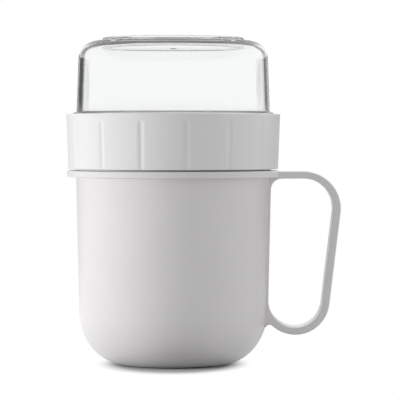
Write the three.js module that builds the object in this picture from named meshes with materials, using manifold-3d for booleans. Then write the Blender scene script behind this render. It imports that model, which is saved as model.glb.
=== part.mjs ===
// Cereal to-go cup: a mug, a screw ring on its neck, and a clear cereal dome plugged into the ring.
// Millimetres, +Z up. The origin is the middle of the flat base, on the axis of all the round pieces.
// The handle points along +X.

import * as THREE from 'three';
import { mergeVertices } from 'three/addons/utils/BufferGeometryUtils.js';
import Module from 'manifold-3d';

// The whole cup
const overallHeight = 158.7; // from the base to the top of the dome's foot ring

// Fits between the pieces
const seatGap = 0.3; // between faces that rest on each other
const slideGap = 0.35; // round a piece that slides or turns in a bore
const sealGap = 0.15; // between the dome's seal and the bore that squeezes it

// Mug
const neckRadius = 47.3; // outside of the neck, and of the wall under the collar
const neckHeight = 13.5; // from the collar to the rim
const rimRound = 0.6;
const mugWall = 2.1;
const mugFloor = 2.4;
const mugTaper = 1.45; // how much the wall narrows from the collar to the rounded base
const baseCornerWidth = 22; // the rounded base, measured inwards from the wall
const baseCornerHeight = 26;
const collarHeight = 2.8;
const collarProud = 0.7; // how far the collar stands out past the ring
const collarRound = 0.5;

// Handle, a flat strap bent into a loop
const strapThickness = 3.5;
const strapWidth = 18.5;
const strapRound = 0.6;
const fingerReach = 30.4; // from the neck's radius to the inside of the strap
const upperBendRadius = 18; // outside of the strap
const lowerBendRadius = 16.6;
const lowerBendHeight = 31.3; // of the lower bend's middle, above the base
const rootFillet = 5.5; // under the top arm
const ribProud = 0.15; // the rib that joins both ends of the strap along the wall

// Screw thread, the same ridge on the neck and in the ring
const threadStarts = 3;
const threadPitch = 4;
const threadHeight = 1.2;
const threadRootWidth = 1.9;
const threadCrestWidth = 0.8;
const threadRadialGap = 0.4; // between a crest and the wall that it faces
const threadFlankGap = 0.35; // between two flanks, along the axis
const threadTopMargin = 3.4; // plain neck between thread and rim
const threadBottomMargin = 0.6; // plain bore under the ring's own ridges
const threadRoot = 0.5; // how deep a ridge is rooted in its wall
const threadRunOut = 0.15; // share of a ridge's length over which it rises or falls
const threadEndHeight = 0.3; // of a ridge at its two ends

// Screw ring
const ringGap = 1.4; // open line between collar and ring
const ringWall = 2.15;
const ringFlare = 1; // how much wider the ring is at its top
const ringRound = 0.5;
const ringLeadIn = 0.5;
const rimWall = 2.95; // ring outside the dome's flange
const ledgeThickness = 1.8;
const ledgeLap = 2; // how far the ledge reaches past the gasket
const socketDepth = 6.75; // from the ledge up to the flange's seat
const fluteCount = 15;
const fluteWidth = 3.5;
const fluteDepth = 0.6;
const fluteTopMargin = 3;
const fluteTurn = THREE.MathUtils.degToRad(6.75); // first flute, from the front towards the handle

// Divider disc and its gasket
const gasketLeg = 1;
const gasketWall = 1;
const gasketLap = 0.6; // how far the gasket reaches inside the mug's rim
const discThickness = 1.2;
const dishDepth = 1;

// Cereal dome and its seal
const flangeThickness = 1.8;
const flangeProud = 0.7; // above the ring's top
const flangeWidth = 1.65;
const plugStep = 0.25; // how much slimmer the plug is than the wall above the flange
const domeWall = 2.4;
const domeTop = 2.4;
const domeHeight = 34.95; // from the flange's top to the flat top
const domeTaper = 0.9;
const shoulderRound = 9.5;
const footRingInset = 2.4; // from the shoulder's edge to the foot ring
const footRingWidth = 2;
const footRingHeight = 1.3;
const sealThickness = 1;
const sealHeight = 2.2;

// Fineness of round forms
const facets = 48; // round the axis
const cornerSteps = 7; // in a rounded corner
const bendSegments = 6; // in a bend of the strap
const strapRoundSteps = 2; // in the rounding of the strap's edges
const fluteSides = 20;
const overcut = 1; // how far a cutting solid reaches past what it cuts
const weld = 1e-4;

// Heights, from the dome's top down: the mug takes what the lid leaves of the overall height
const domeFlatTop = overallHeight - footRingHeight;
const flangeTop = domeFlatTop - domeHeight;
const ringTop = flangeTop - flangeProud;
const flangeBottom = flangeTop - flangeThickness;
const flangeSeat = flangeBottom - seatGap;
const ledgeTop = flangeSeat - socketDepth;
const plugBottom = ledgeTop + seatGap;
const ledgeBottom = ledgeTop - ledgeThickness;
const gasketTop = ledgeBottom - seatGap;
const discTop = gasketTop - gasketLeg - seatGap;
const discBottom = discTop - discThickness;
const gasketBottom = discBottom - seatGap - gasketLeg;
const rimHeight = gasketBottom - seatGap;
const collarTop = rimHeight - neckHeight;
const ringBottom = collarTop + ringGap;
const collarUnderside = collarTop - collarHeight;

// Radii, from the neck outwards and on to the dome
const innerNeckRadius = neckRadius - mugWall;
const mugLowRadius = neckRadius - mugTaper;
const threadBore = neckRadius + threadHeight + threadRadialGap;
const ringBottomRadius = threadBore + ringWall;
const ringTopRadius = ringBottomRadius + ringFlare;
const collarRadius = ringBottomRadius + collarProud;
const flangeBore = ringTopRadius - rimWall;
const flangeRadius = flangeBore - seatGap;
const domeRadius = flangeRadius - flangeWidth;
const domeShoulderRadius = domeRadius - domeTaper;
const innerShoulderRound = shoulderRound - domeWall;
const plugRadius = domeRadius - plugStep;
const socketRadius = plugRadius + slideGap;
const sealRadius = socketRadius - sealGap;
const sealInnerRadius = sealRadius - sealThickness;
const gasketRadius = threadBore - slideGap;
const gasketInnerRadius = innerNeckRadius - gasketLap;
const gasketSlotRadius = gasketRadius - gasketWall;
const discRadius = gasketSlotRadius - seatGap;
const ledgeInnerRadius = gasketInnerRadius - ledgeLap;

const wasm = await Module();
wasm.setup();

const at = (radius, height) => new THREE.Vector2(radius, height);

// Points of a quarter ellipse, between two angles in quarter turns counter-clockwise from straight out.
function corner(middle, width, height, fromQuarter, toQuarter) {
  const quarter = Math.PI / 2;
  const clockwise = toQuarter < fromQuarter;
  const curve = new THREE.EllipseCurve(
    middle.x, middle.y, width, height, fromQuarter * quarter, toQuarter * quarter, clockwise,
  );
  return curve.getPoints(cornerSteps);
}

// A closed mesh as a solid that can be joined and cut.
function toSolid(geometry) {
  geometry.deleteAttribute('normal');
  geometry.deleteAttribute('uv');
  const merged = mergeVertices(geometry, weld);
  const corners = merged.index.array;
  const kept = [];
  for (let first = 0; first < corners.length; first += 3) {
    const [a, b, c] = corners.slice(first, first + 3);
    if (a !== b && b !== c && c !== a) {
      kept.push(a, b, c);
    }
  }
  const mesh = new wasm.Mesh({
    numProp: 3,
    vertProperties: new Float32Array(merged.attributes.position.array),
    triVerts: new Uint32Array(kept),
  });
  return new wasm.Manifold(mesh);
}

// A profile of radii and heights, turned about the Z axis.
function revolve(profile) {
  const geometry = new THREE.LatheGeometry(profile, facets);
  geometry.rotateX(Math.PI / 2);
  return toSolid(geometry);
}

function toMesh(name, solid, material) {
  const { vertProperties, triVerts } = solid.getMesh();
  const geometry = new THREE.BufferGeometry();
  geometry.setAttribute('position', new THREE.BufferAttribute(vertProperties, 3));
  geometry.setIndex(new THREE.BufferAttribute(triVerts, 1));
  geometry.computeVertexNormals();
  const mesh = new THREE.Mesh(geometry, material);
  mesh.name = name;
  return mesh;
}

// The mug wall's outside radius at a height between the rounded base and the collar.
function wallRadius(height) {
  return THREE.MathUtils.mapLinear(height, baseCornerHeight, collarUnderside, mugLowRadius, neckRadius);
}

// Thread: how far the ring's ridges lie under the neck's, and how far both climb.
const threadLead = threadPitch * threadStarts;
const rootHalf = threadRootWidth / 2;
const crestHalf = threadCrestWidth / 2;
const flankHalf = THREE.MathUtils.lerp(rootHalf, crestHalf, threadRadialGap / threadHeight);
const threadDrop = crestHalf + flankHalf + threadFlankGap;
const threadLow = ringBottom + threadBottomMargin + rootHalf + threadDrop;
const threadHigh = rimHeight - threadTopMargin - rootHalf;
const threadTurn = ((threadHigh - threadLow) / threadLead) * 2 * Math.PI;

// One right-hand ridge: a box bent round the axis, from its wall to its crest, running out at both ends.
function threadRidge(wall, crest, startTurn, startHeight) {
  const steps = Math.ceil((threadTurn / (2 * Math.PI)) * facets);
  const geometry = new THREE.BoxGeometry(1, 1, 1, 1, steps, 1);
  const inward = Math.sign(wall - crest);
  const root = wall + inward * threadRoot;
  const endCrest = wall - inward * threadEndHeight;
  const place = geometry.attributes.position;
  for (let i = 0; i < place.count; i += 1) {
    const along = place.getY(i) + 0.5;
    const turn = startTurn + along * threadTurn;
    const rise = Math.min(1, Math.min(along, 1 - along) / threadRunOut);
    const onCrest = place.getX(i) * inward < 0;
    const radius = onCrest ? THREE.MathUtils.lerp(endCrest, crest, rise) : root;
    const half = onCrest ? crestHalf : rootHalf;
    const height = startHeight + along * (threadHigh - threadLow) + place.getZ(i) * 2 * half;
    place.setXYZ(i, radius * Math.cos(turn), radius * Math.sin(turn), height);
  }
  return toSolid(geometry);
}

function addThread(body, wall, crest, startHeight) {
  let threaded = body;
  for (let start = 0; start < threadStarts; start += 1) {
    const startTurn = (start / threadStarts) * 2 * Math.PI;
    threaded = threaded.add(threadRidge(wall, crest, startTurn, startHeight));
  }
  return threaded;
}

// The handle's loop in the XZ plane: its two bends share middles inside and outside the strap.
function handleLoop() {
  const upper = at(neckRadius + fingerReach + strapThickness - upperBendRadius, collarTop - upperBendRadius);
  const upperInside = upperBendRadius - strapThickness;
  const lowerInside = lowerBendRadius - strapThickness;
  const lower = at(wallRadius(lowerBendHeight) + ribProud + lowerInside, lowerBendHeight);
  const between = upper.clone().sub(lower);
  const lean = Math.atan2(between.x, between.y)
    + Math.asin((upperBendRadius - lowerBendRadius) / between.length());

  const loop = new THREE.Shape();
  loop.moveTo(lower.x - lowerBendRadius, collarTop);
  loop.lineTo(upper.x, collarTop);
  loop.absarc(upper.x, upper.y, upperBendRadius, Math.PI / 2, -lean, true);
  loop.absarc(lower.x, lower.y, lowerBendRadius, -lean, -Math.PI, true);

  const filletHeight = collarTop - strapThickness - rootFillet;
  const filletMiddle = wallRadius(filletHeight) + ribProud + rootFillet;
  const fingerGap = new THREE.Path();
  fingerGap.moveTo(lower.x - lowerInside, lower.y);
  fingerGap.absarc(lower.x, lower.y, lowerInside, Math.PI, 2 * Math.PI - lean, false);
  fingerGap.absarc(upper.x, upper.y, upperInside, -lean, Math.PI / 2, false);
  fingerGap.absarc(filletMiddle, filletHeight, rootFillet, Math.PI / 2, Math.PI, false);
  loop.holes.push(fingerGap);
  return loop;
}

function makeHandle() {
  const depth = strapWidth - 2 * strapRound;
  const geometry = new THREE.ExtrudeGeometry(handleLoop(), {
    depth,
    curveSegments: bendSegments,
    bevelThickness: strapRound,
    bevelSize: strapRound,
    bevelOffset: -strapRound,
    bevelSegments: strapRoundSteps,
  });
  geometry.rotateX(Math.PI / 2);
  geometry.translate(0, depth / 2, 0);
  return toSolid(geometry);
}

function makeMug() {
  const cornerMiddle = at(mugLowRadius - baseCornerWidth, baseCornerHeight);
  const outside = revolve([
    at(0, 0),
    ...corner(cornerMiddle, baseCornerWidth, baseCornerHeight, -1, 0),
    at(neckRadius, collarUnderside),
    at(collarRadius - collarRound, collarUnderside),
    at(collarRadius, collarUnderside + collarRound),
    at(collarRadius, collarTop - collarRound),
    at(collarRadius - collarRound, collarTop),
    at(neckRadius, collarTop),
    at(neckRadius, rimHeight - rimRound),
    at(neckRadius - rimRound, rimHeight),
    at(0, rimHeight),
  ]);
  const inside = revolve([
    at(0, mugFloor),
    ...corner(cornerMiddle, baseCornerWidth - mugWall, baseCornerHeight - mugFloor, -1, 0),
    at(innerNeckRadius, collarUnderside),
    at(innerNeckRadius, rimHeight + overcut),
    at(0, rimHeight + overcut),
  ]);
  const body = outside.add(makeHandle()).subtract(inside);
  return addThread(body, neckRadius, neckRadius + threadHeight, threadLow);
}

// A rounded bar that leans with the ring's flare and leaves one flute with a round top end.
function makeFlute(index) {
  const radius = (fluteWidth ** 2 / 4 + fluteDepth ** 2) / (2 * fluteDepth);
  const ringHeight = ringTop - ringBottom;
  const length = ringHeight - fluteTopMargin - fluteWidth / 2 + overcut;
  const geometry = new THREE.CapsuleGeometry(radius, 2 * length, cornerSteps, fluteSides);
  geometry.rotateX(Math.PI / 2);
  geometry.translate(0, 0, -length);
  geometry.rotateY(Math.atan2(ringFlare, ringHeight));
  const topHeight = ringTop - fluteTopMargin - fluteWidth / 2;
  const ringRadius = THREE.MathUtils.mapLinear(
    topHeight, ringBottom, ringTop, ringBottomRadius, ringTopRadius,
  );
  geometry.translate(ringRadius + radius - fluteDepth, 0, topHeight);
  geometry.rotateZ(fluteTurn - Math.PI / 2 + (index / fluteCount) * 2 * Math.PI);
  return toSolid(geometry);
}

function makeRing() {
  let body = revolve([
    at(threadBore + ringLeadIn, ringBottom),
    at(ringBottomRadius - ringRound, ringBottom),
    at(ringBottomRadius, ringBottom + ringRound),
    at(ringTopRadius, ringTop - ringRound),
    at(ringTopRadius - ringRound, ringTop),
    at(flangeBore, ringTop),
    at(flangeBore, flangeSeat),
    at(socketRadius, flangeSeat),
    at(socketRadius, ledgeTop),
    at(ledgeInnerRadius, ledgeTop),
    at(ledgeInnerRadius, ledgeBottom),
    at(threadBore, ledgeBottom),
    at(threadBore, ringBottom + ringLeadIn),
    at(threadBore + ringLeadIn, ringBottom),
  ]);
  for (let index = 0; index < fluteCount; index += 1) {
    body = body.subtract(makeFlute(index));
  }
  return addThread(body, threadBore, threadBore - threadHeight, threadLow - threadDrop);
}

function makeDivider() {
  const dishRadius = gasketInnerRadius - seatGap;
  return revolve([
    at(0, discBottom - dishDepth),
    at(dishRadius - dishDepth, discBottom - dishDepth),
    at(dishRadius, discBottom),
    at(discRadius, discBottom),
    at(discRadius, discTop),
    at(dishRadius - discThickness / 2, discTop),
    at(dishRadius - discThickness / 2 - dishDepth, discTop - dishDepth),
    at(0, discTop - dishDepth),
  ]);
}

function makeRimSeal() {
  return revolve([
    at(gasketInnerRadius, gasketBottom),
    at(gasketRadius, gasketBottom),
    at(gasketRadius, gasketTop),
    at(gasketInnerRadius, gasketTop),
    at(gasketInnerRadius, gasketTop - gasketLeg),
    at(gasketSlotRadius, gasketTop - gasketLeg),
    at(gasketSlotRadius, gasketBottom + gasketLeg),
    at(gasketInnerRadius, gasketBottom + gasketLeg),
    at(gasketInnerRadius, gasketBottom),
  ]);
}

// The dome's seal lies halfway up the plug.
const sealMiddle = (plugBottom + flangeBottom) / 2;
const sealBottom = sealMiddle - sealHeight / 2;
const sealTop = sealMiddle + sealHeight / 2;

function makeDome() {
  const shoulder = at(domeShoulderRadius - shoulderRound, domeFlatTop - shoulderRound);
  const innerTop = domeFlatTop - domeTop;
  const innerShoulder = at(
    domeShoulderRadius - domeWall - innerShoulderRound,
    innerTop - innerShoulderRound,
  );
  const footRadius = domeShoulderRadius - shoulderRound - footRingInset;
  const innerFootRadius = domeRadius - domeWall;
  const grooveRadius = sealInnerRadius - seatGap;
  return revolve([
    at(0, innerTop),
    ...corner(innerShoulder, innerShoulderRound, innerShoulderRound, 1, 0),
    at(innerFootRadius, flangeTop),
    at(innerFootRadius, plugBottom),
    at(plugRadius, plugBottom),
    at(plugRadius, sealBottom - seatGap),
    at(grooveRadius, sealBottom - seatGap),
    at(grooveRadius, sealTop + seatGap),
    at(plugRadius, sealTop + seatGap),
    at(plugRadius, flangeBottom),
    at(flangeRadius, flangeBottom),
    at(flangeRadius, flangeTop),
    at(domeRadius, flangeTop),
    ...corner(shoulder, shoulderRound, shoulderRound, 0, 1),
    at(footRadius, domeFlatTop),
    at(footRadius, domeFlatTop + footRingHeight),
    at(footRadius - footRingWidth, domeFlatTop + footRingHeight),
    at(footRadius - footRingWidth, domeFlatTop),
    at(0, domeFlatTop),
  ]);
}

function makeDomeSeal() {
  return revolve([
    at(sealInnerRadius, sealBottom),
    at(sealRadius, sealBottom),
    at(sealRadius, sealTop),
    at(sealInnerRadius, sealTop),
    at(sealInnerRadius, sealBottom),
  ]);
}

// Finishes
const greyPlastic = new THREE.MeshStandardMaterial({ color: 0xd3d2d1, roughness: 0.45, metalness: 0 });
const ringPlastic = new THREE.MeshStandardMaterial({ color: 0xd4d4d4, roughness: 0.4, metalness: 0 });
const clearPlastic = new THREE.MeshStandardMaterial({
  color: 0xf4f6f6, roughness: 0.05, metalness: 0, transparent: true, opacity: 0.2,
});
const silicone = new THREE.MeshStandardMaterial({ color: 0xe6e6e4, roughness: 0.7, metalness: 0 });

const cup = new THREE.Group();
cup.add(
  toMesh('mug_body', makeMug(), greyPlastic),
  toMesh('screw_ring', makeRing(), ringPlastic),
  toMesh('divider_disc', makeDivider(), greyPlastic),
  toMesh('rim_seal', makeRimSeal(), silicone),
  toMesh('cereal_dome', makeDome(), clearPlastic),
  toMesh('dome_seal', makeDomeSeal(), silicone),
);

export default cup;
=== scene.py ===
"""Looks of a cereal to-go cup: mug with loop handle, fluted screw ring, clear dome, divider and seals.

Sizes of pieces are in millimetres in the frame of the CAD part: +Z up along the axis of the round pieces, the
origin in the middle of the flat base, the handle along +X and the photographed side along -Y. The studio is
in metres.
"""

import logging
import math
from dataclasses import dataclass
from enum import Enum
from typing import Any, Callable, Sequence

import bmesh
import bpy
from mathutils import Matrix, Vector


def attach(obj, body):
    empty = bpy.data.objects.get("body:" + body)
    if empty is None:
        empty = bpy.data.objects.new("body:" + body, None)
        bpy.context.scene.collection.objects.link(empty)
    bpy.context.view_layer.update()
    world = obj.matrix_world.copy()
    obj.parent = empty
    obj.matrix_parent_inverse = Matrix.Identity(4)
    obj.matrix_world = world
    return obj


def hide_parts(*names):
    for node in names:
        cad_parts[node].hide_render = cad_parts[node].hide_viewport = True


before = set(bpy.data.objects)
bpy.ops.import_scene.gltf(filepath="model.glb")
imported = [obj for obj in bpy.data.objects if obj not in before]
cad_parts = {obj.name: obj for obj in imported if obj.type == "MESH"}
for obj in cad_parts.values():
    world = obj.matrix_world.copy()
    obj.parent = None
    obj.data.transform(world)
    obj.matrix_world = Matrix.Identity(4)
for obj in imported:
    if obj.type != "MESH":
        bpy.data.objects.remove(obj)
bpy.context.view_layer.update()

log = logging.getLogger("cereal_cup")

Colour = tuple[float, float, float]
Place = tuple[float, float, float]
Point = tuple[float, float]

MM = 0.001
WELD = 0.002 * MM
FULL_TURN = 2 * math.pi
FULL_CIRCLE = 360
HALF_CIRCLE = 180
ABOUT_Z = {"center": (0, 0, 0), "axis": (0, 0, 1)}
NOISE_MEAN = 0.5
WHITE: Colour = (1.0, 1.0, 1.0)

# Directions in a profile, in degrees counter-clockwise from straight out
OUT, UP, DOWN = 0, 90, -90


class Body(Enum):
    """Moving bodies of the CAD part."""

    MUG = "mug"
    DIVIDER = "divider"
    RING = "ring"
    DOME = "dome"


class Slot(Enum):
    """Material slots of the record."""

    MUG = "mug_plastic"
    RING = "ring_plastic"
    DIVIDER = "divider_plastic"
    SILICONE = "silicone"
    CLEAR = "clear_plastic"


class Sight(Enum):
    """Ways in which a dark card of the studio is seen."""

    IN_GLOSS = "gloss"
    THROUGH_DOME = "dome"


# Shader graphs


class Value:
    """A number in a shader graph that takes part in plain sums."""

    def __init__(self, graph: "Graph", socket: bpy.types.NodeSocket) -> None:
        """Wraps an output socket of a node in a graph."""
        self.graph = graph
        self.socket = socket

    def _sum(self, operation: str, first: Any, second: Any) -> "Value":
        """Adds one Math node for two numbers or Values and returns its result."""
        return self.graph.value("ShaderNodeMath", {"operation": operation}, {0: first, 1: second})

    def __add__(self, other: Any) -> "Value":
        """Sum."""
        return self._sum("ADD", self, other)

    __radd__ = __add__

    def __sub__(self, other: Any) -> "Value":
        """Difference."""
        return self._sum("SUBTRACT", self, other)

    def __rsub__(self, other: Any) -> "Value":
        """Difference from a plain number."""
        return self._sum("SUBTRACT", other, self)

    def __mul__(self, other: Any) -> "Value":
        """Product."""
        return self._sum("MULTIPLY", self, other)

    __rmul__ = __mul__

    def __or__(self, other: Any) -> "Value":
        """The larger of two values."""
        return self._sum("MAXIMUM", self, other)

    __ror__ = __or__


class Graph:
    """The node tree of a material or of the world."""

    # Places of the colour sockets in a Mix node, which has sockets of the same names for other kinds
    FIRST_COLOUR, SECOND_COLOUR, MIXED_COLOUR = 6, 7, 2

    def __init__(self, owner: Any) -> None:
        """Starts an empty tree.

        Args:
            owner: The material or world whose tree it is.
        """
        owner.use_nodes = True
        self.tree = owner.node_tree
        self.tree.nodes.clear()

    def node(self, kind: str, settings: dict[str, Any] | None = None,
             inputs: dict[Any, Any] | None = None) -> bpy.types.Node:
        """Adds a node.

        Args:
            kind: The node's type.
            settings: Attributes that are set first.
            inputs: Numbers, Values, sockets or colours for its input sockets.

        Returns:
            The node.
        """
        made = self.tree.nodes.new(kind)
        for name, setting in (settings or {}).items():
            setattr(made, name, setting)
        for name, given in (inputs or {}).items():
            source = given.socket if isinstance(given, Value) else given
            if isinstance(source, bpy.types.NodeSocket):
                self.tree.links.new(source, made.inputs[name])
            elif isinstance(source, tuple) and made.inputs[name].type == "RGBA":
                made.inputs[name].default_value = (*source, 1.0)
            else:
                made.inputs[name].default_value = source
        return made

    def value(self, kind: str, settings: dict[str, Any] | None = None,
              inputs: dict[Any, Any] | None = None, output: Any = 0) -> Value:
        """Adds a node and takes one of its outputs as a Value."""
        return Value(self, self.node(kind, settings, inputs).outputs[output])

    def noise(self, size: float, detail: float) -> Value:
        """Soft noise over the piece.

        Args:
            size: Size of its blotches in millimetres.
            detail: How many finer layers it has.

        Returns:
            The noise, about 0.5 on average.
        """
        place = self.node("ShaderNodeTexCoord").outputs["Object"]
        inputs = {"Vector": place, "Scale": 1 / (size * MM), "Detail": detail}
        return self.value("ShaderNodeTexNoise", None, inputs, "Fac")

    def mix_colour(self, share: Value, first: Colour, second: Colour) -> bpy.types.NodeSocket:
        """Mixes two colours.

        Args:
            share: Share of the second colour, from 0 to 1.
            first: The first colour.
            second: The second colour.

        Returns:
            The mixed colour's socket.
        """
        inputs = {"Factor": share, self.FIRST_COLOUR: first, self.SECOND_COLOUR: second}
        return self.node("ShaderNodeMix", {"data_type": "RGBA"}, inputs).outputs[self.MIXED_COLOUR]

    def mix_shader(self, share: Value, first: bpy.types.Node, second: bpy.types.Node) -> bpy.types.Node:
        """Mixes two shaders by the share of the second one, from 0 to 1, and returns the node."""
        inputs = {0: share, 1: first.outputs[0], 2: second.outputs[0]}
        return self.node("ShaderNodeMixShader", None, inputs)

    def bump(self, height: Value, depth: float, strength: float) -> bpy.types.NodeSocket:
        """Roughens the surface.

        Args:
            height: Height over the surface, from 0 to 1.
            depth: Depth in millimetres that a height of 1 stands for.
            strength: Share of the effect.

        Returns:
            The changed normal's socket.
        """
        inputs = {"Height": height, "Distance": depth * MM, "Strength": strength}
        return self.node("ShaderNodeBump", None, inputs).outputs[0]

    def show(self, shader: bpy.types.Node, kind: str = "ShaderNodeOutputMaterial") -> None:
        """Sends a shader to the tree's surface output."""
        self.node(kind, None, {"Surface": shader.outputs[0]})

    def show_surface(self, inputs: dict[str, Any]) -> None:
        """Shows a Principled surface with these inputs."""
        self.show(self.node("ShaderNodeBsdfPrincipled", None, inputs))


# Finishes


def grey(level: float) -> Colour:
    """A neutral colour."""
    return (level, level, level)


def shade(colour: Colour, level: float) -> Colour:
    """A colour made darker or lighter by a factor."""
    return tuple(part * level for part in colour)


@dataclass(frozen=True)
class SatinPlastic:
    """Moulded polypropylene with a fine spark-eroded texture and faint flow marks."""

    name: str
    colour: Colour
    roughness: float = 0.36
    refraction: float = 1.49
    grain_size: float = 0.55
    grain_detail: float = 3.0
    grain_depth: float = 0.02
    grain_strength: float = 0.35
    grain_roughness: float = 0.1
    flow_size: float = 26.0
    flow_detail: float = 2.0
    flow_shift: float = 0.018
    flow_roughness: float = 0.08

    def material(self) -> bpy.types.Material:
        """Builds the material.

        Returns:
            The material.
        """
        made = bpy.data.materials.new(self.name)
        graph = Graph(made)
        grain = graph.noise(self.grain_size, self.grain_detail)
        flow = graph.noise(self.flow_size, self.flow_detail)
        darker = shade(self.colour, 1 - self.flow_shift)
        lighter = shade(self.colour, 1 + self.flow_shift)
        flow_change = self.flow_roughness * (flow - NOISE_MEAN)
        grain_change = self.grain_roughness * (grain - NOISE_MEAN)
        graph.show_surface({
            "Base Color": graph.mix_colour(flow, darker, lighter),
            "Roughness": self.roughness + flow_change + grain_change,
            "Normal": graph.bump(grain, self.grain_depth, self.grain_strength),
            "IOR": self.refraction,
        })
        return made


@dataclass(frozen=True)
class Silicone:
    """Matt white silicone with a powdery skin."""

    name: str
    colour: Colour
    roughness: float = 0.62
    refraction: float = 1.41
    detail: float = 2.0
    powder_size: float = 0.35
    powder_depth: float = 0.015
    powder_strength: float = 0.3
    powder_roughness: float = 0.15
    cloud_size: float = 9.0
    cloud_shade: float = 0.96

    def material(self) -> bpy.types.Material:
        """Builds the material.

        Returns:
            The material.
        """
        made = bpy.data.materials.new(self.name)
        graph = Graph(made)
        powder = graph.noise(self.powder_size, self.detail)
        cloud = graph.noise(self.cloud_size, self.detail)
        graph.show_surface({
            "Base Color": graph.mix_colour(cloud, shade(self.colour, self.cloud_shade), self.colour),
            "Roughness": self.roughness + self.powder_roughness * (powder - NOISE_MEAN),
            "Normal": graph.bump(powder, self.powder_depth, self.powder_strength),
            "IOR": self.refraction,
        })
        return made


@dataclass(frozen=True)
class ClearPlastic:
    """Polished clear moulding with a faint grey tint, slow waves and fine scuffs."""

    name: str
    colour: Colour
    roughness: float = 0.01
    refraction: float = 1.5
    wave_size: float = 18.0
    wave_detail: float = 1.0
    wave_depth: float = 0.02
    wave_strength: float = 0.1
    wave_shade: float = 0.985
    scuff_size: float = 1.2
    scuff_detail: float = 3.0
    scuff_roughness: float = 0.02

    def material(self) -> bpy.types.Material:
        """Builds the material.

        Returns:
            The material.
        """
        made = bpy.data.materials.new(self.name)
        graph = Graph(made)
        wave = graph.noise(self.wave_size, self.wave_detail)
        scuff = graph.noise(self.scuff_size, self.scuff_detail)
        graph.show_surface({
            "Base Color": graph.mix_colour(wave, shade(self.colour, self.wave_shade), self.colour),
            "Roughness": self.roughness + self.scuff_roughness * scuff,
            "Normal": graph.bump(wave, self.wave_depth, self.wave_strength),
            "IOR": self.refraction,
            "Transmission Weight": 1.0,
        })
        return made


Finish = SatinPlastic | Silicone | ClearPlastic


# Modelling by hand


@dataclass(frozen=True)
class Knot:
    """A corner of a profile: distance from the axis, height and rounding."""

    radius: float
    height: float
    rounding: float = 0.0


def ellipse(middle: Point, width: float, height: float, start: float, end: float, steps: int) -> list[Knot]:
    """Knots along part of an ellipse.

    Args:
        middle: Radius and height of its middle.
        width: Its half axis outwards.
        height: Its half axis upwards.
        start: First direction in degrees, counter-clockwise from straight out.
        end: Last direction.
        steps: Number of straight pieces.

    Returns:
        The knots, both ends included.
    """
    angles = [math.radians(start + (end - start) * step / steps) for step in range(steps + 1)]
    return [Knot(middle[0] + width * math.cos(a), middle[1] + height * math.sin(a)) for a in angles]


def arc(middle: Point, radius: float, start: float, end: float, steps: int) -> list[Knot]:
    """Knots along part of a circle, with directions and steps as for an ellipse."""
    return ellipse(middle, radius, radius, start, end, steps)


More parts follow.
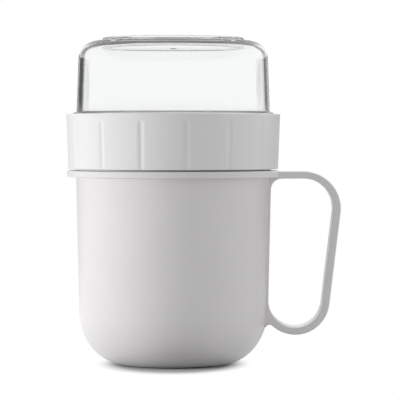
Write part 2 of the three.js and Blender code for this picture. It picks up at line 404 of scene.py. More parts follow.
class Workbench:
    """Modelling steps on one mesh object, done with the operators of edit mode."""

    def __init__(self, name: str) -> None:
        """Starts a piece as a single vertex at the origin, left in edit mode.

        Args:
            name: The piece's name.
        """
        self.done()
        bpy.ops.object.select_all(action="DESELECT")
        bpy.ops.mesh.primitive_plane_add(size=MM)
        self.piece = bpy.context.active_object
        self.piece.name = self.piece.data.name = name
        self.edit()
        bpy.ops.mesh.merge(type="CENTER")

    @staticmethod
    def done() -> None:
        """Goes back to object mode."""
        if bpy.context.mode != "OBJECT":
            bpy.ops.object.mode_set(mode="OBJECT")

    def activate(self) -> None:
        """Goes back to object mode, with the piece active and nothing else selected."""
        self.done()
        bpy.ops.object.select_all(action="DESELECT")
        self.piece.select_set(True)
        bpy.context.view_layer.objects.active = self.piece

    def edit(self) -> None:
        """Opens the piece in edit mode with all its vertices selected."""
        self.activate()
        bpy.ops.object.mode_set(mode="EDIT")
        bpy.ops.mesh.select_mode(type="VERT")
        bpy.ops.mesh.select_all(action="SELECT")

    def pick(self, wanted: Callable[[Vector], bool]) -> None:
        """Selects some vertices and nothing else.

        Args:
            wanted: Whether a vertex is selected, for its place in millimetres.
        """
        bpy.ops.mesh.select_all(action="DESELECT")
        mesh = bmesh.from_edit_mesh(self.piece.data)
        for vertex in mesh.verts:
            vertex.select = wanted(vertex.co / MM)
        mesh.select_flush_mode()
        bmesh.update_edit_mesh(self.piece.data)

    def draw(self, knots: Sequence[Knot], closed: bool = False) -> None:
        """Draws a wire through knots in the XZ plane, and rounds its corners.

        Args:
            knots: The corners in order.
            closed: Whether the wire ends where it starts.
        """
        first = knots[0]
        bpy.ops.transform.translate(value=(first.radius * MM, 0, first.height * MM))
        path = [*knots, first] if closed else list(knots)
        for here, there in zip(path, path[1:]):
            step = ((there.radius - here.radius) * MM, 0, (there.height - here.height) * MM)
            bpy.ops.mesh.extrude_vertices_move(TRANSFORM_OT_translate={"value": step})
        bpy.ops.mesh.select_all(action="SELECT")
        bpy.ops.mesh.remove_doubles(threshold=WELD)
        count = len(knots)
        for index, knot in enumerate(knots):
            if knot.rounding:
                self.round_corner(knots[index - 1], knot, knots[(index + 1) % count])

    def round_corner(self, before: Knot, knot: Knot, after: Knot, steps: int = 5) -> None:
        """Bevels one corner of a wire to its rounding.

        Args:
            before: The knot before it.
            knot: The corner.
            after: The knot after it.
            steps: Straight pieces in the rounded corner.
        """
        place = Vector((knot.radius, 0, knot.height))
        back = Vector((before.radius, 0, before.height)) - place
        on = Vector((after.radius, 0, after.height)) - place
        offset = knot.rounding / math.tan(back.angle(on) / 2)
        self.pick(lambda spot: (spot - place).length < WELD / MM)
        bpy.ops.mesh.bevel(offset=offset * MM, segments=steps, affect="VERTICES")

    def tidy(self) -> None:
        """Merges doubled vertices and turns all faces outwards."""
        bpy.ops.mesh.select_all(action="SELECT")
        bpy.ops.mesh.remove_doubles(threshold=WELD)
        bpy.ops.mesh.normals_make_consistent(inside=False)

    def turn(self, steps: int) -> None:
        """Spins the drawn profile once round the Z axis.

        Args:
            steps: Number of equal steps.
        """
        bpy.ops.mesh.select_all(action="SELECT")
        bpy.ops.mesh.spin(steps=steps, angle=FULL_TURN, **ABOUT_Z)
        self.tidy()

    def repeat(self, count: int) -> None:
        """Copies the whole mesh round the Z axis.

        Args:
            count: How many there are in a full turn, the first one included.
        """
        bpy.ops.mesh.select_all(action="SELECT")
        copies = count - 1
        bpy.ops.mesh.spin(steps=copies, dupli=True, angle=FULL_TURN * copies / count, **ABOUT_Z)
        self.tidy()

    def modify(self, kind: str, **settings: Any) -> None:
        """Adds a modifier and applies it.

        Args:
            kind: The modifier's type.
            settings: Its settings.
        """
        self.done()
        bpy.context.view_layer.objects.active = self.piece
        modifier = self.piece.modifiers.new(kind, kind)
        for name, setting in settings.items():
            setattr(modifier, name, setting)
        bpy.ops.object.modifier_apply(modifier=modifier.name)

    def press(self, radius: float, share: Callable[[Vector], float]) -> None:
        """Presses the piece towards a cylinder on the Z axis.

        Args:
            radius: The cylinder's radius.
            share: How far a vertex goes, from 0 to 1, for its place in millimetres.
        """
        self.done()
        painted = self.piece.vertex_groups.new(name="pressed")
        for vertex in self.piece.data.vertices:
            weight = share(vertex.co / MM)
            if weight > 0:
                painted.add([vertex.index], weight, "REPLACE")
        self.modify("CAST", cast_type="CYLINDER", use_z=False, use_radius_as_size=False, factor=1.0,
                    size=radius * MM, vertex_group=painted.name)
        self.piece.vertex_groups.clear()

    def join(self, other: "Workbench") -> None:
        """Unites the piece with another solid and removes the other."""
        self.modify("BOOLEAN", object=other.piece, operation="UNION", solver="MANIFOLD")
        bpy.data.objects.remove(other.piece)

    def smooth(self, degrees: float = 32.0, face_weight: int = 100) -> None:
        """Shades the piece smooth.

        Args:
            degrees: Edges sharper than this stay sharp.
            face_weight: How much large faces count for the normals of their corners.
        """
        self.activate()
        bpy.ops.object.shade_smooth_by_angle(angle=math.radians(degrees))
        self.modify("WEIGHTED_NORMAL", keep_sharp=True, weight=face_weight)


def turned(name: str, knots: Sequence[Knot], closed: bool, steps: int = 160) -> Workbench:
    """Draws a profile and spins it to a solid.

    Args:
        name: The piece's name.
        knots: The profile's corners.
        closed: Whether the profile is a closed loop off the axis.
        steps: Steps round the axis.

    Returns:
        The bench with the solid.
    """
    bench = Workbench(name)
    bench.draw(knots, closed)
    bench.turn(steps)
    return bench


# Pieces


class SubAssembly:
    """Pieces that belong together: each class builds its meshes and dresses them."""

    @staticmethod
    def dress(bench: Workbench, finish: Finish, body: Body, slot: Slot, node: str) -> None:
        """Gives a modelled piece its finish and hangs it on its body in place of its CAD node.

        Args:
            bench: The bench with the modelled piece.
            finish: The finish whose material it gets.
            body: The body that it rides on.
            slot: The record's material slot; not used.
            node: The CAD node that it stands for.
        """
        bench.smooth()
        piece = bench.piece
        piece.data.materials.clear()
        piece.data.materials.append(finish.material())
        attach(piece, body.value)
        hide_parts(node)
        log.info("%s: %d faces, on %s", piece.name, len(piece.data.polygons), body.value)


@dataclass(frozen=True)
class Thread:
    """Ridges of the three-start screw thread, alike on the neck and in the ring.

    A ridge climbs by its part of the lead over its sweep, in degrees. Its root is buried in the wall, and its
    crest sinks to the end height over the run-out, in degrees, at both ends.
    """

    starts: int = 3
    lead: float = 12.0
    sweep: float = 140.3
    steps: int = 48
    root_half: float = 0.95
    crest_half: float = 0.4
    buried: float = 0.5
    end_height: float = 0.3
    end_slack: float = 1.0
    run_out: float = 21.0

    def ridges(self, name: str, wall: float, crest: float, height: float) -> Workbench:
        """Models all the ridges.

        Args:
            name: Name of the mesh.
            wall: Radius of the wall that carries them.
            crest: Radius of their crests.
            height: Height of the lower end's middle.

        Returns:
            The bench with the ridges.
        """
        root = wall + math.copysign(self.buried, wall - crest)
        section = [
            Knot(root, height - self.root_half), Knot(crest, height - self.crest_half),
            Knot(crest, height + self.crest_half), Knot(root, height + self.root_half),
        ]
        bench = Workbench(name)
        bench.draw(section, closed=True)
        bench.modify("SCREW", axis="Z", angle=math.radians(self.sweep), steps=self.steps,
                     render_steps=self.steps, screw_offset=self.lead * MM * self.sweep / FULL_CIRCLE)
        bench.edit()
        bpy.ops.mesh.select_all(action="DESELECT")
        bpy.ops.mesh.select_non_manifold(extend=False)
        bpy.ops.mesh.fill_holes(sides=len(section))
        bench.tidy()
        end = wall + math.copysign(self.end_height, crest - wall)
        bench.press(end, lambda spot: self.fade(spot, root))
        bench.edit()
        bench.repeat(self.starts)
        bench.done()
        return bench

    def fade(self, spot: Vector, root: float) -> float:
        """How far a ridge's crest sinks near its ends.

        Args:
            spot: A place on the ridge in millimetres.
            root: Radius of the ridge's root, which stays where it is.

        Returns:
            The share, from 0 along the ridge to 1 at its ends.
        """
        if abs(math.hypot(spot.x, spot.y) - root) < self.buried / 2:
            return 0.0
        along = math.degrees(math.atan2(spot.y, spot.x)) % FULL_CIRCLE
        from_end = min(along, self.sweep - along) if along < self.sweep + self.end_slack else 0.0
        return 1 - min(1.0, max(0.0, from_end) / self.run_out)


@dataclass(frozen=True)
class Handle:
    """The loop handle: a flat strap with rounded edges, seen as a closed loop in the XZ plane.

    Between its two bends the strap leans inwards, by some degrees. Along the mug the loop closes with a thin
    rib, whose face stands a little out of the wall and whose last corners are buried in it.
    """

    thickness: float = 3.5
    width: float = 18.5
    rounding: float = 0.6
    rounding_steps: int = 4
    edge_angle: float = 60.0
    top: float = 93.9
    upper_middle: Point = (63.2, 75.9)
    upper_radius: float = 18.0
    upper_steps: int = 20
    lower_middle: Point = (59.22, 31.3)
    lower_radius: float = 16.6
    lower_steps: int = 24
    lean: float = 6.9
    notch_middle: Point = (46.75, 17.5)
    notch_radius: float = 2.0
    notch_end: float = 150.0
    notch_steps: int = 10
    fillet: float = 5.5
    fillet_steps: int = 10
    rib_face: float = 0.15
    buried: tuple[Point, ...] = ((43.0, 18.0), (44.1, 25.0), (45.9, 93.9))

    def outer_loop(self) -> list[Knot]:
        """The loop's outside.

        Returns:
            The knots, from the collar round to the lower root and back up inside the wall.
        """
        notch_from = math.degrees(math.atan2(self.notch_middle[1] - self.lower_middle[1],
                                             self.notch_middle[0] - self.lower_middle[0]))
        upper = arc(self.upper_middle, self.upper_radius, UP, -self.lean, self.upper_steps)
        lower = arc(self.lower_middle, self.lower_radius, -self.lean, notch_from, self.lower_steps)
        notch = arc(self.notch_middle, self.notch_radius, notch_from + HALF_CIRCLE, self.notch_end,
                    self.notch_steps)
        return [*upper, *lower, *notch, *(Knot(*spot) for spot in self.buried)]

    def inner_loop(self, wall: Callable[[float], float]) -> list[Knot]:
        """The finger gap's outline.

        Args:
            wall: The mug's outside radius at a height.

        Returns:
            The knots, from the upper bend clockwise.
        """
        upper_radius = self.upper_radius - self.thickness
        lower_radius = self.lower_radius - self.thickness
        fillet_height = self.top - self.thickness - self.fillet
        fillet_middle = (wall(fillet_height) + self.rib_face + self.fillet, fillet_height)
        upper = arc(self.upper_middle, upper_radius, UP, -self.lean, self.upper_steps)
        lower = arc(self.lower_middle, lower_radius, -self.lean, -HALF_CIRCLE, self.lower_steps)
        root = arc(fillet_middle, self.fillet, HALF_CIRCLE, UP, self.fillet_steps)
        return [*upper, *lower, *root]

    def build(self, wall: Callable[[float], float]) -> Workbench:
        """Models the handle.

        Args:
            wall: The mug's outside radius at a height.

        Returns:
            The bench with the solid.
        """
        bench = Workbench("handle")
        bench.draw(self.outer_loop(), closed=True)
        gap = Workbench("finger_gap")
        gap.draw(self.inner_loop(wall), closed=True)
        bench.done()
        bench.piece.select_set(True)
        gap.piece.select_set(True)
        bpy.context.view_layer.objects.active = bench.piece
        bpy.ops.object.join()
        bench.edit()
        bpy.ops.mesh.fill(use_beauty=True)
        bpy.ops.mesh.select_all(action="SELECT")
        bpy.ops.transform.translate(value=(0, -self.width / 2 * MM, 0))
        bpy.ops.mesh.extrude_region_move(TRANSFORM_OT_translate={"value": (0, self.width * MM, 0)})
        bench.tidy()
        self.round_edges(bench)
        bench.tidy()
        bench.done()
        return bench

    def round_edges(self, bench: Workbench) -> None:
        """Bevels the strap's long edges, where its flat sides meet its inside and outside.

        Args:
            bench: The bench with the strap, in edit mode.
        """
        bpy.ops.mesh.select_all(action="DESELECT")
        mesh = bmesh.from_edit_mesh(bench.piece.data)
        for edge in mesh.edges:
            ends = [vertex.co / MM for vertex in edge.verts]
            on_side = abs(ends[0].y - ends[1].y) < self.rounding
            sharp = edge.calc_face_angle(0.0) > math.radians(self.edge_angle)
            if on_side and sharp and not all(map(self.is_buried, ends)):
                edge.select = True
        bmesh.update_edit_mesh(bench.piece.data)
        bpy.ops.mesh.bevel(offset=self.rounding * MM, segments=self.rounding_steps, affect="EDGES")

    def is_buried(self, spot: Vector) -> bool:
        """Whether a corner of the strap, in millimetres, is one of those inside the mug's wall."""
        return any(math.hypot(spot.x - x, spot.z - z) < self.rounding for x, z in self.buried)


@dataclass
class Mug(SubAssembly):
    """The grey mug: rounded cup, collar, threaded neck and loop handle in one moulding."""

    neck_radius: float = 47.3
    wall: float = 2.1
    wall_middle: float = 60.0
    floor: float = 2.4
    taper: float = 1.45
    corner_width: float = 22.0
    corner_height: float = 26.0
    corner_steps: int = 28
    inner_corner_steps: int = 24
    collar_radius: float = 51.75
    collar_bottom: float = 91.1
    collar_top: float = 94.2
    collar_edge: float = 0.5
    collar_root: float = 0.4
    rim: float = 107.4
    rim_edge: float = 0.6
    thread_low: float = 98.367
    thread_height: float = 1.2
    thread: Thread = Thread()
    handle: Handle = Handle()
    finish: SatinPlastic = SatinPlastic("satin_grey", (0.778, 0.760, 0.761))

    def wall_radius(self, height: float) -> float:
        """The wall's outside radius at a height between the rounded base and the collar."""
        share = (self.collar_bottom - height) / (self.collar_bottom - self.corner_height)
        return self.neck_radius - self.taper * share

    def profile(self) -> list[Knot]:
        """The cup's profile.

        Returns:
            The knots, from the middle of the base outside up to the rim and down inside.
        """
        corner = (self.neck_radius - self.taper - self.corner_width, self.corner_height)
        inner_width = self.corner_width - self.wall
        inner_height = self.corner_height - self.floor
        inner_neck = self.neck_radius - self.wall
        middle = self.wall_radius(self.wall_middle)
        return [
            Knot(0, 0),
            *ellipse(corner, self.corner_width, self.corner_height, DOWN, OUT, self.corner_steps),
            Knot(middle, self.wall_middle),
            Knot(self.neck_radius, self.collar_bottom, self.collar_edge),
            Knot(self.collar_radius, self.collar_bottom, self.collar_edge),
            Knot(self.collar_radius, self.collar_top, self.collar_edge),
            Knot(self.neck_radius, self.collar_top, self.collar_root),
            Knot(self.neck_radius, self.rim, self.rim_edge),
            Knot(inner_neck, self.rim, self.rim_edge),
            Knot(inner_neck, self.collar_bottom),
            Knot(middle - self.wall, self.wall_middle),
            *ellipse(corner, inner_width, inner_height, OUT, DOWN, self.inner_corner_steps),
            Knot(0, self.floor),
        ]

    def build(self) -> None:
        """Models and dresses the mug."""
        mug = turned("mug", self.profile(), closed=False)
        mug.join(self.handle.build(self.wall_radius))
        crest = self.neck_radius + self.thread_height
        mug.join(self.thread.ridges("neck_thread", self.neck_radius, crest, self.thread_low))
        self.dress(mug, self.finish, Body.MUG, Slot.MUG, "mug_body")


@dataclass
class ScrewRing(SubAssembly):
    """The grey screw ring with grip flutes outside, and a thread and a ledge inside.

    The flutes are V-shaped, with a rounded bottom and soft edges. They are pressed into the outer skin alone,
    towards a core below it. The mesh has fine columns in a sector, in degrees, about each flute, and fine rows
    where the flutes end.
    """

    bottom: float = 94.95
    top: float = 121.75
    bottom_radius: float = 51.05
    top_radius: float = 52.05
    edge: float = 0.5
    bore: float = 48.9
    inner_edge: float = 0.4
    flange_bore: float = 49.1
    flange_seat: float = 120.35
    flange_edge: float = 0.25
    socket_radius: float = 47.25
    socket_edge: float = 0.2
    ledge_top: float = 113.6
    ledge_bottom: float = 111.8
    ledge_radius: float = 42.6
    flutes: int = 15
    flute_half: float = 1.7
    flute_depth: float = 0.45
    flute_bottom: float = 0.3
    flute_top: float = 117.0
    flute_turn: float = 13.5
    flute_edge: float = 0.06
    flute_sector: float = 5.5
    fine_columns: int = 22
    coarse_columns: int = 8
    coarse_rows: tuple[float, ...] = (100.0, 106.0, 112.0)
    fine_rows: int = 18
    fine_row_low: float = 115.5
    fine_row_step: float = 0.25
    skin: float = 0.7
    core_depth: float = 3.0
    thread_low: float = 96.85
    thread_height: float = 1.2
    thread: Thread = Thread()
    finish: SatinPlastic = SatinPlastic("satin_pale_grey", (0.811, 0.811, 0.811))

    def outside(self, height: float) -> float:
        """The ring's outside radius at a height."""
        share = (height - self.bottom) / (self.top - self.bottom)
        return self.bottom_radius + (self.top_radius - self.bottom_radius) * share

    def profile(self) -> list[Knot]:
        """The ring's closed profile, with close rows where the flutes end.

        Returns:
            The knots, from the bore's lower edge counter-clockwise.
        """
        fine = [self.fine_row_low + self.fine_row_step * row for row in range(self.fine_rows)]
        return [
            Knot(self.bore, self.bottom, self.inner_edge),
            Knot(self.bottom_radius, self.bottom, self.edge),
            *(Knot(self.outside(row), row) for row in (*self.coarse_rows, *fine)),
            Knot(self.top_radius, self.top, self.edge),
            Knot(self.flange_bore, self.top, self.flange_edge),
            Knot(self.flange_bore, self.flange_seat),
            Knot(self.socket_radius, self.flange_seat, self.socket_edge),
            Knot(self.socket_radius, self.ledge_top),
            Knot(self.ledge_radius, self.ledge_top, self.inner_edge),
            Knot(self.ledge_radius, self.ledge_bottom, self.inner_edge),
            Knot(self.bore, self.ledge_bottom),
        ]

    def flute(self, spot: Vector) -> float:
        """Depth of the flutes.

        Args:
            spot: A place on the ring in millimetres.

        Returns:
            How far the place sinks, in millimetres; 0 away from the flutes and inside the ring.
        """
        radius = math.hypot(spot.x, spot.y)
        if radius < self.outside(spot.z) - self.skin:
            return 0.0
        pitch = FULL_CIRCLE / self.flutes
        turn = math.degrees(math.atan2(spot.y, spot.x)) - self.flute_turn
        aside = math.radians((turn + pitch / 2) % pitch - pitch / 2) * radius
        away = math.hypot(aside, max(0.0, spot.z - self.flute_top))
        if away > 2 * self.flute_half:
            return 0.0
        cut = self.flute_depth * (1 - math.hypot(away, self.flute_bottom) / self.flute_half)
        return (cut + math.hypot(cut, self.flute_edge)) / 2

    def build(self) -> None:
        """Models and dresses the ring."""
        ring = Workbench("screw_ring")
        ring.draw(self.profile(), closed=True)
        # The profile is turned half a sector past a flute, and the spins run back over it, clockwise
        sector = math.radians(self.flute_sector)
        start = math.radians(self.flute_turn) + sector / 2
        bpy.ops.mesh.select_all(action="SELECT")
        bpy.ops.transform.rotate(value=-start, orient_axis="Z", center_override=(0, 0, 0))
        bpy.ops.mesh.spin(steps=self.fine_columns, angle=sector, **ABOUT_Z)
        bpy.ops.mesh.spin(steps=self.coarse_columns, angle=FULL_TURN / self.flutes - sector, **ABOUT_Z)
        ring.repeat(self.flutes)
        core = self.bottom_radius - self.core_depth
        ring.press(core, lambda spot: self.flute(spot) / (math.hypot(spot.x, spot.y) - core))
        crest = self.bore - self.thread_height
        ring.join(self.thread.ridges("ring_thread", self.bore, crest, self.thread_low))
        self.dress(ring, self.finish, Body.RING, Slot.RING, "screw_ring")


@dataclass
class Divider(SubAssembly):
    """The divider disc with its silicone gasket, between the mug and the dome."""

    disc_radius: float = 47.25
    disc_bottom: float = 109.0
    disc_top: float = 110.2
    disc_edge: float = 0.4
    dish_radius: float = 44.3
    dish_depth: float = 1.0
    dish_edge: float = 0.6
    dish_root: float = 0.3
    gasket_radius: float = 48.55
    gasket_inner: float = 44.6
    gasket_bottom: float = 107.7
    gasket_top: float = 111.5
    gasket_leg: float = 1.0
    gasket_edge: float = 0.3
    slot_radius: float = 47.55
    slot_edge: float = 0.2
    finish: SatinPlastic = SatinPlastic("satin_divider", (0.80, 0.80, 0.80), roughness=0.38)
    rubber: Silicone = Silicone("silicone", (0.86, 0.86, 0.85))

    def build_disc(self) -> None:
        """Models and dresses the disc."""
        low, high = self.disc_bottom, self.disc_top
        inner = self.dish_radius - (high - low) / 2
        disc = turned("divider_disc", [
            Knot(0, low - self.dish_depth),
            Knot(self.dish_radius - self.dish_depth, low - self.dish_depth, self.dish_edge),
            Knot(self.dish_radius, low, self.dish_root),
            Knot(self.disc_radius, low, self.disc_edge),
            Knot(self.disc_radius, high, self.disc_edge),
            Knot(inner, high, self.dish_edge),
            Knot(inner - self.dish_depth, high - self.dish_depth, self.dish_edge),
            Knot(0, high - self.dish_depth),
        ], closed=False)
        self.dress(disc, self.finish, Body.DIVIDER, Slot.DIVIDER, "divider_disc")

    def build_gasket(self) -> None:
        """Models and dresses the gasket."""
        low, high = self.gasket_bottom, self.gasket_top
        gasket = turned("rim_seal", [
            Knot(self.gasket_inner, low, self.gasket_edge),
            Knot(self.gasket_radius, low, self.gasket_edge),
            Knot(self.gasket_radius, high, self.gasket_edge),
            Knot(self.gasket_inner, high, self.gasket_edge),
            Knot(self.gasket_inner, high - self.gasket_leg, self.slot_edge),
            Knot(self.slot_radius, high - self.gasket_leg, self.slot_edge),
            Knot(self.slot_radius, low + self.gasket_leg, self.slot_edge),
            Knot(self.gasket_inner, low + self.gasket_leg, self.slot_edge),
        ], closed=True)
        self.dress(gasket, self.rubber, Body.DIVIDER, Slot.SILICONE, "rim_seal")

    def build(self) -> None:
        """Models and dresses the disc and the gasket."""
        self.build_disc()
        self.build_gasket()


@dataclass
class CerealDome(SubAssembly):
    """The clear dome with flange, plug and foot ring, and the silicone ring in the plug's groove."""

    plug_bottom: float = 113.9
    plug_radius: float = 46.9
    plug_edge: float = 0.4
    groove_radius: float = 45.8
    groove_bottom: float = 115.875
    groove_top: float = 118.675
    groove_edge: float = 0.15
    flange_bottom: float = 120.65
    flange_top: float = 122.45
    flange_radius: float = 48.8
    flange_root: float = 0.2
    flange_lower_edge: float = 0.3
    flange_upper_edge: float = 0.5
    radius: float = 47.15
    shoulder_radius: float = 46.25
    shoulder: float = 9.5
    inner_shoulder: float = 6.6
    shoulder_steps: int = 20
    wall: float = 2.4
    flat_top: float = 157.4
    foot_radius: float = 34.35
    foot_width: float = 2.0
    foot_height: float = 1.3
    foot_edge: float = 0.5
    foot_root: float = 0.4
    gate_radius: float = 1.5
    gate_height: float = 0.4
    gate_edge: float = 0.15
    gate_root: float = 0.1
    bead_radius: float = 31.5
    bead_half: float = 0.4
    bead_height: float = 0.25
    bead_edge: float = 0.1
    columns: int = 192
    seal_inner: float = 46.1
    seal_outer: float = 47.1
    seal_bottom: float = 116.175
    seal_top: float = 118.375
    seal_inner_edge: float = 0.3
    seal_outer_edge: float = 0.45
    clear: ClearPlastic = ClearPlastic("clear_plastic", (0.97, 0.975, 0.975))
    rubber: Silicone = Silicone("silicone_ring", (0.86, 0.86, 0.85))

    def inside(self) -> list[Knot]:
        """The dome's inner skin.

        Returns:
            The knots, from the gate mark in the middle of its top down to the plug.
        """
        inner_top = self.flat_top - self.wall
        inner_radius = self.radius - self.wall
        bend = self.inner_shoulder
        middle = (self.shoulder_radius - self.wall - bend, inner_top - bend)
        return [
            Knot(0, inner_top - self.gate_height),
            Knot(self.gate_radius, inner_top - self.gate_height, self.gate_edge),
            Knot(self.gate_radius, inner_top, self.gate_root),
            Knot(self.bead_radius - self.bead_half, inner_top),
            Knot(self.bead_radius, inner_top - self.bead_height, self.bead_edge),
            Knot(self.bead_radius + self.bead_half, inner_top),
            *arc(middle, bend, UP, OUT, self.shoulder_steps),
            Knot(inner_radius, self.flange_top),
            Knot(inner_radius, self.plug_bottom, self.plug_edge),
        ]

    def outside(self) -> list[Knot]:
        """The dome's outer skin.

        Returns:
            The knots, from the plug up to the middle of its top.
        """
        inner_foot = self.foot_radius - self.foot_width
        foot_top = self.flat_top + self.foot_height
        middle = (self.shoulder_radius - self.shoulder, self.flat_top - self.shoulder)
        return [
            Knot(self.plug_radius, self.plug_bottom, self.plug_edge),
            Knot(self.plug_radius, self.groove_bottom, self.groove_edge),
            Knot(self.groove_radius, self.groove_bottom),
            Knot(self.groove_radius, self.groove_top),
            Knot(self.plug_radius, self.groove_top, self.groove_edge),
            Knot(self.plug_radius, self.flange_bottom, self.flange_root),
            Knot(self.flange_radius, self.flange_bottom, self.flange_lower_edge),
            Knot(self.flange_radius, self.flange_top, self.flange_upper_edge),
            Knot(self.radius, self.flange_top, self.flange_upper_edge),
            *arc(middle, self.shoulder, OUT, UP, self.shoulder_steps),
            Knot(self.foot_radius, self.flat_top, self.foot_root),
            Knot(self.foot_radius, foot_top, self.foot_edge),
            Knot(inner_foot, foot_top, self.foot_edge),
            Knot(inner_foot, self.flat_top, self.foot_root),
            Knot(0, self.flat_top),
        ]

    def build(self) -> None:
        """Models and dresses the dome and its seal."""
        skins = [*self.inside(), *self.outside()]
        dome = turned("cereal_dome", skins, closed=False, steps=self.columns)
        self.dress(dome, self.clear, Body.DOME, Slot.CLEAR, "cereal_dome")
        seal = turned("dome_seal", [
            Knot(self.seal_inner, self.seal_bottom, self.seal_inner_edge),
            Knot(self.seal_outer, self.seal_bottom, self.seal_outer_edge),
            Knot(self.seal_outer, self.seal_top, self.seal_outer_edge),
            Knot(self.seal_inner, self.seal_top, self.seal_inner_edge),
        ], closed=True)
        self.dress(seal, self.rubber, Body.DOME, Slot.SILICONE, "dome_seal")


# Studio


@dataclass(frozen=True)
class SoftBox:
    """A soft lamp that points at the middle of the cup."""

    name: str
    place: Place
    size: Point
    power: float
    target: Place = (0.01, 0.0, 0.08)

    def build(self) -> None:
        """Sets the lamp up."""
        bpy.ops.object.select_all(action="DESELECT")
        bpy.ops.object.light_add(type="AREA", location=self.place)
        lamp = bpy.context.active_object
        lamp.name = self.name
        aim = Vector(self.target) - lamp.location
        lamp.rotation_euler = aim.to_track_quat("-Z", "Y").to_euler()
        lamp.data.shape = "RECTANGLE"
        lamp.data.size, lamp.data.size_y = self.size
        lamp.data.energy = self.power
        lamp.visible_camera = lamp.visible_transmission = lamp.visible_glossy = False


@dataclass(frozen=True)
class Flag:
    """A dark card upright behind the cup, seen either in the gloss or through the clear dome."""

    name: str
    sight: Sight
    behind: float
    across: Point
    up: Point
    level: float

    def build(self) -> None:
        """Sets the card up."""
        bpy.ops.object.select_all(action="DESELECT")
        middle = (sum(self.across) / 2, self.behind, sum(self.up) / 2)
        bpy.ops.mesh.primitive_plane_add(size=1, location=middle, rotation=(math.pi / 2, 0, 0))
        card = bpy.context.active_object
        card.name = self.name
        card.scale = (self.across[1] - self.across[0], self.up[1] - self.up[0], 1)
        made = bpy.data.materials.new(self.name)
        graph = Graph(made)
        graph.show(graph.node("ShaderNodeEmission", None, {"Color": grey(self.level)}))
        card.data.materials.append(made)
        card.visible_camera = card.visible_diffuse = card.visible_shadow = False
        card.visible_glossy = self.sight is Sight.IN_GLOSS
        card.visible_transmission = self.sight is Sight.THROUGH_DOME


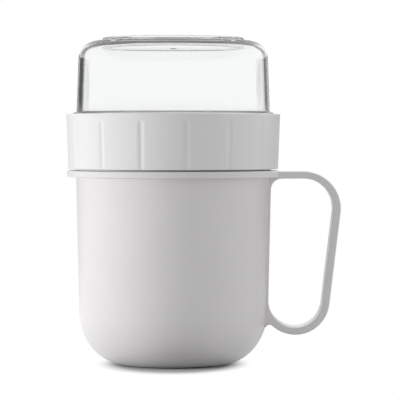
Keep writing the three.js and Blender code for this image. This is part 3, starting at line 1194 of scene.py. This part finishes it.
@dataclass
class Studio:
    """White floor and surroundings, soft lamps, dark cards and the camera.

    The floor is seen as white, apart from an oval under the cup, where a grey diffuse surface takes the cup's
    real cast shadow and its grey sets how dark that shadow renders. The oval's fade to white, between its core
    and its end, both shares of its half axes, is painted: it sets where the shadow ends.
    """

    ambient: float = 0.51
    floor_grey: float = 0.54
    floor_size: float = 8.0
    # Grey of the shadow-taking oval, which sets how dark the cup's cast shadow renders
    shadow_patch_grey: float = 0.74
    shadow_half: Point = (0.041, 0.065)
    shadow_core: float = 0.62
    shadow_end: float = 0.94
    camera_place: Place = (0.0130, -1.170, 0.11005)
    camera_tilt: float = 1.48
    camera_reach: float = 20.0
    lens: float = 216.0
    flags: tuple[Flag, ...] = (
        Flag("flag_left", Sight.THROUGH_DOME, 2.0, (-1.660, -0.680), (0.10, 3.20), 0.10),
        Flag("flag_right", Sight.THROUGH_DOME, 2.0, (0.740, 1.340), (0.10, 1.18), 0.26),
        Flag("flag_top", Sight.THROUGH_DOME, 2.0, (-0.720, 1.000), (0.80, 3.98), 0.18),
        Flag("flag_low_left", Sight.IN_GLOSS, 0.5, (-1.000, -0.140), (0.00, 0.20), 0.10),
        Flag("flag_low_right", Sight.IN_GLOSS, 0.5, (0.160, 1.000), (0.00, 0.20), 0.10),
    )
    lamps: tuple[SoftBox, ...] = (
        SoftBox("key_left", (-1.080, -0.21, 0.10), (0.5, 0.2), 7.4),
        SoftBox("fill_right", (1.096, -0.05, 0.25), (0.6, 0.3), 1.9),
        SoftBox("back_left", (-0.45, 0.60, 1.05), (0.5, 0.5), 1.8),
        SoftBox("top_right", (0.22, 0.34, 1.25), (0.5, 0.5), 7.5),
    )

    @staticmethod
    def seen(graph: Graph) -> Value:
        """Tells rays that see a surface from rays that only carry its light.

        Args:
            graph: The tree that asks.

        Returns:
            1 for a ray by which the camera, a gloss or a clear piece sees the surface, else 0.
        """
        path = graph.node("ShaderNodeLightPath").outputs
        rays = [Value(graph, path[f"Is {kind} Ray"]) for kind in ("Camera", "Glossy", "Transmission")]
        return rays[0] | rays[1] | rays[2]

    def build_world(self) -> None:
        """Sets up surroundings that are white as seen and dimmer as light."""
        world = bpy.data.worlds.new("studio")
        bpy.context.scene.world = world
        graph = Graph(world)
        white = graph.node("ShaderNodeBackground", None, {"Color": WHITE, "Strength": 1.0})
        soft = graph.node("ShaderNodeBackground", None, {"Color": WHITE, "Strength": self.ambient})
        graph.show(graph.mix_shader(self.seen(graph), soft, white), "ShaderNodeOutputWorld")

    def floor_material(self) -> bpy.types.Material:
        """Pale floor that is plain white as seen, apart from the shadow close to the cup.

        Returns:
            The material.
        """
        made = bpy.data.materials.new("pale_floor")
        graph = Graph(made)
        # Painted shadow edge: an oval mask by place fades the grey shadow-taking floor to white, so the cup's
        # real shadow ends with the oval
        place = graph.node("ShaderNodeTexCoord").outputs["Object"]
        half = (*self.shadow_half, 1.0)
        share = graph.node("ShaderNodeVectorMath", {"operation": "DIVIDE"}, {0: place, 1: half}).outputs[0]
        away = graph.value("ShaderNodeVectorMath", {"operation": "LENGTH"}, {0: share}, "Value")
        settings = {"interpolation_type": "SMOOTHSTEP"}
        inputs = {"Value": away, "From Min": self.shadow_core, "From Max": self.shadow_end}
        clear = graph.value("ShaderNodeMapRange", settings, inputs)
        matt = graph.node("ShaderNodeBsdfDiffuse", None, {"Color": grey(self.floor_grey)})
        shadow_patch = graph.node("ShaderNodeBsdfDiffuse", None, {"Color": grey(self.shadow_patch_grey)})
        white = graph.node("ShaderNodeEmission", None, {"Color": WHITE, "Strength": 1.0})
        near = graph.mix_shader(clear, shadow_patch, white)
        graph.show(graph.mix_shader(self.seen(graph), matt, near))
        return made

    def build_camera(self) -> None:
        """Sets up the camera in the photograph's place."""
        tilt = (math.radians(UP - self.camera_tilt), 0, 0)
        bpy.ops.object.camera_add(location=self.camera_place, rotation=tilt)
        camera = bpy.context.active_object
        camera.data.lens = self.lens
        camera.data.clip_end = self.camera_reach
        bpy.context.scene.camera = camera

    def build(self) -> None:
        """Sets up floor, world, lamps, cards and camera."""
        bpy.ops.object.select_all(action="DESELECT")
        bpy.ops.mesh.primitive_plane_add(size=self.floor_size)
        floor = bpy.context.active_object
        floor.name = "floor"
        floor.data.materials.append(self.floor_material())
        self.build_world()
        for item in (*self.lamps, *self.flags):
            item.build()
        self.build_camera()
        bpy.context.scene.view_settings.view_transform = "Standard"
        log.info("studio: %d lamps, %d cards", len(self.lamps), len(self.flags))


def main() -> None:
    """Builds the cup piece by piece, then the studio, and logs each piece's face count and the studio's lamps
    and cards.
    """
    logging.basicConfig(level=logging.INFO, format="%(name)s: %(message)s")
    for assembly in (Mug(), ScrewRing(), Divider(), CerealDome(), Studio()):
        assembly.build()


if __name__ == "__main__":
    main()
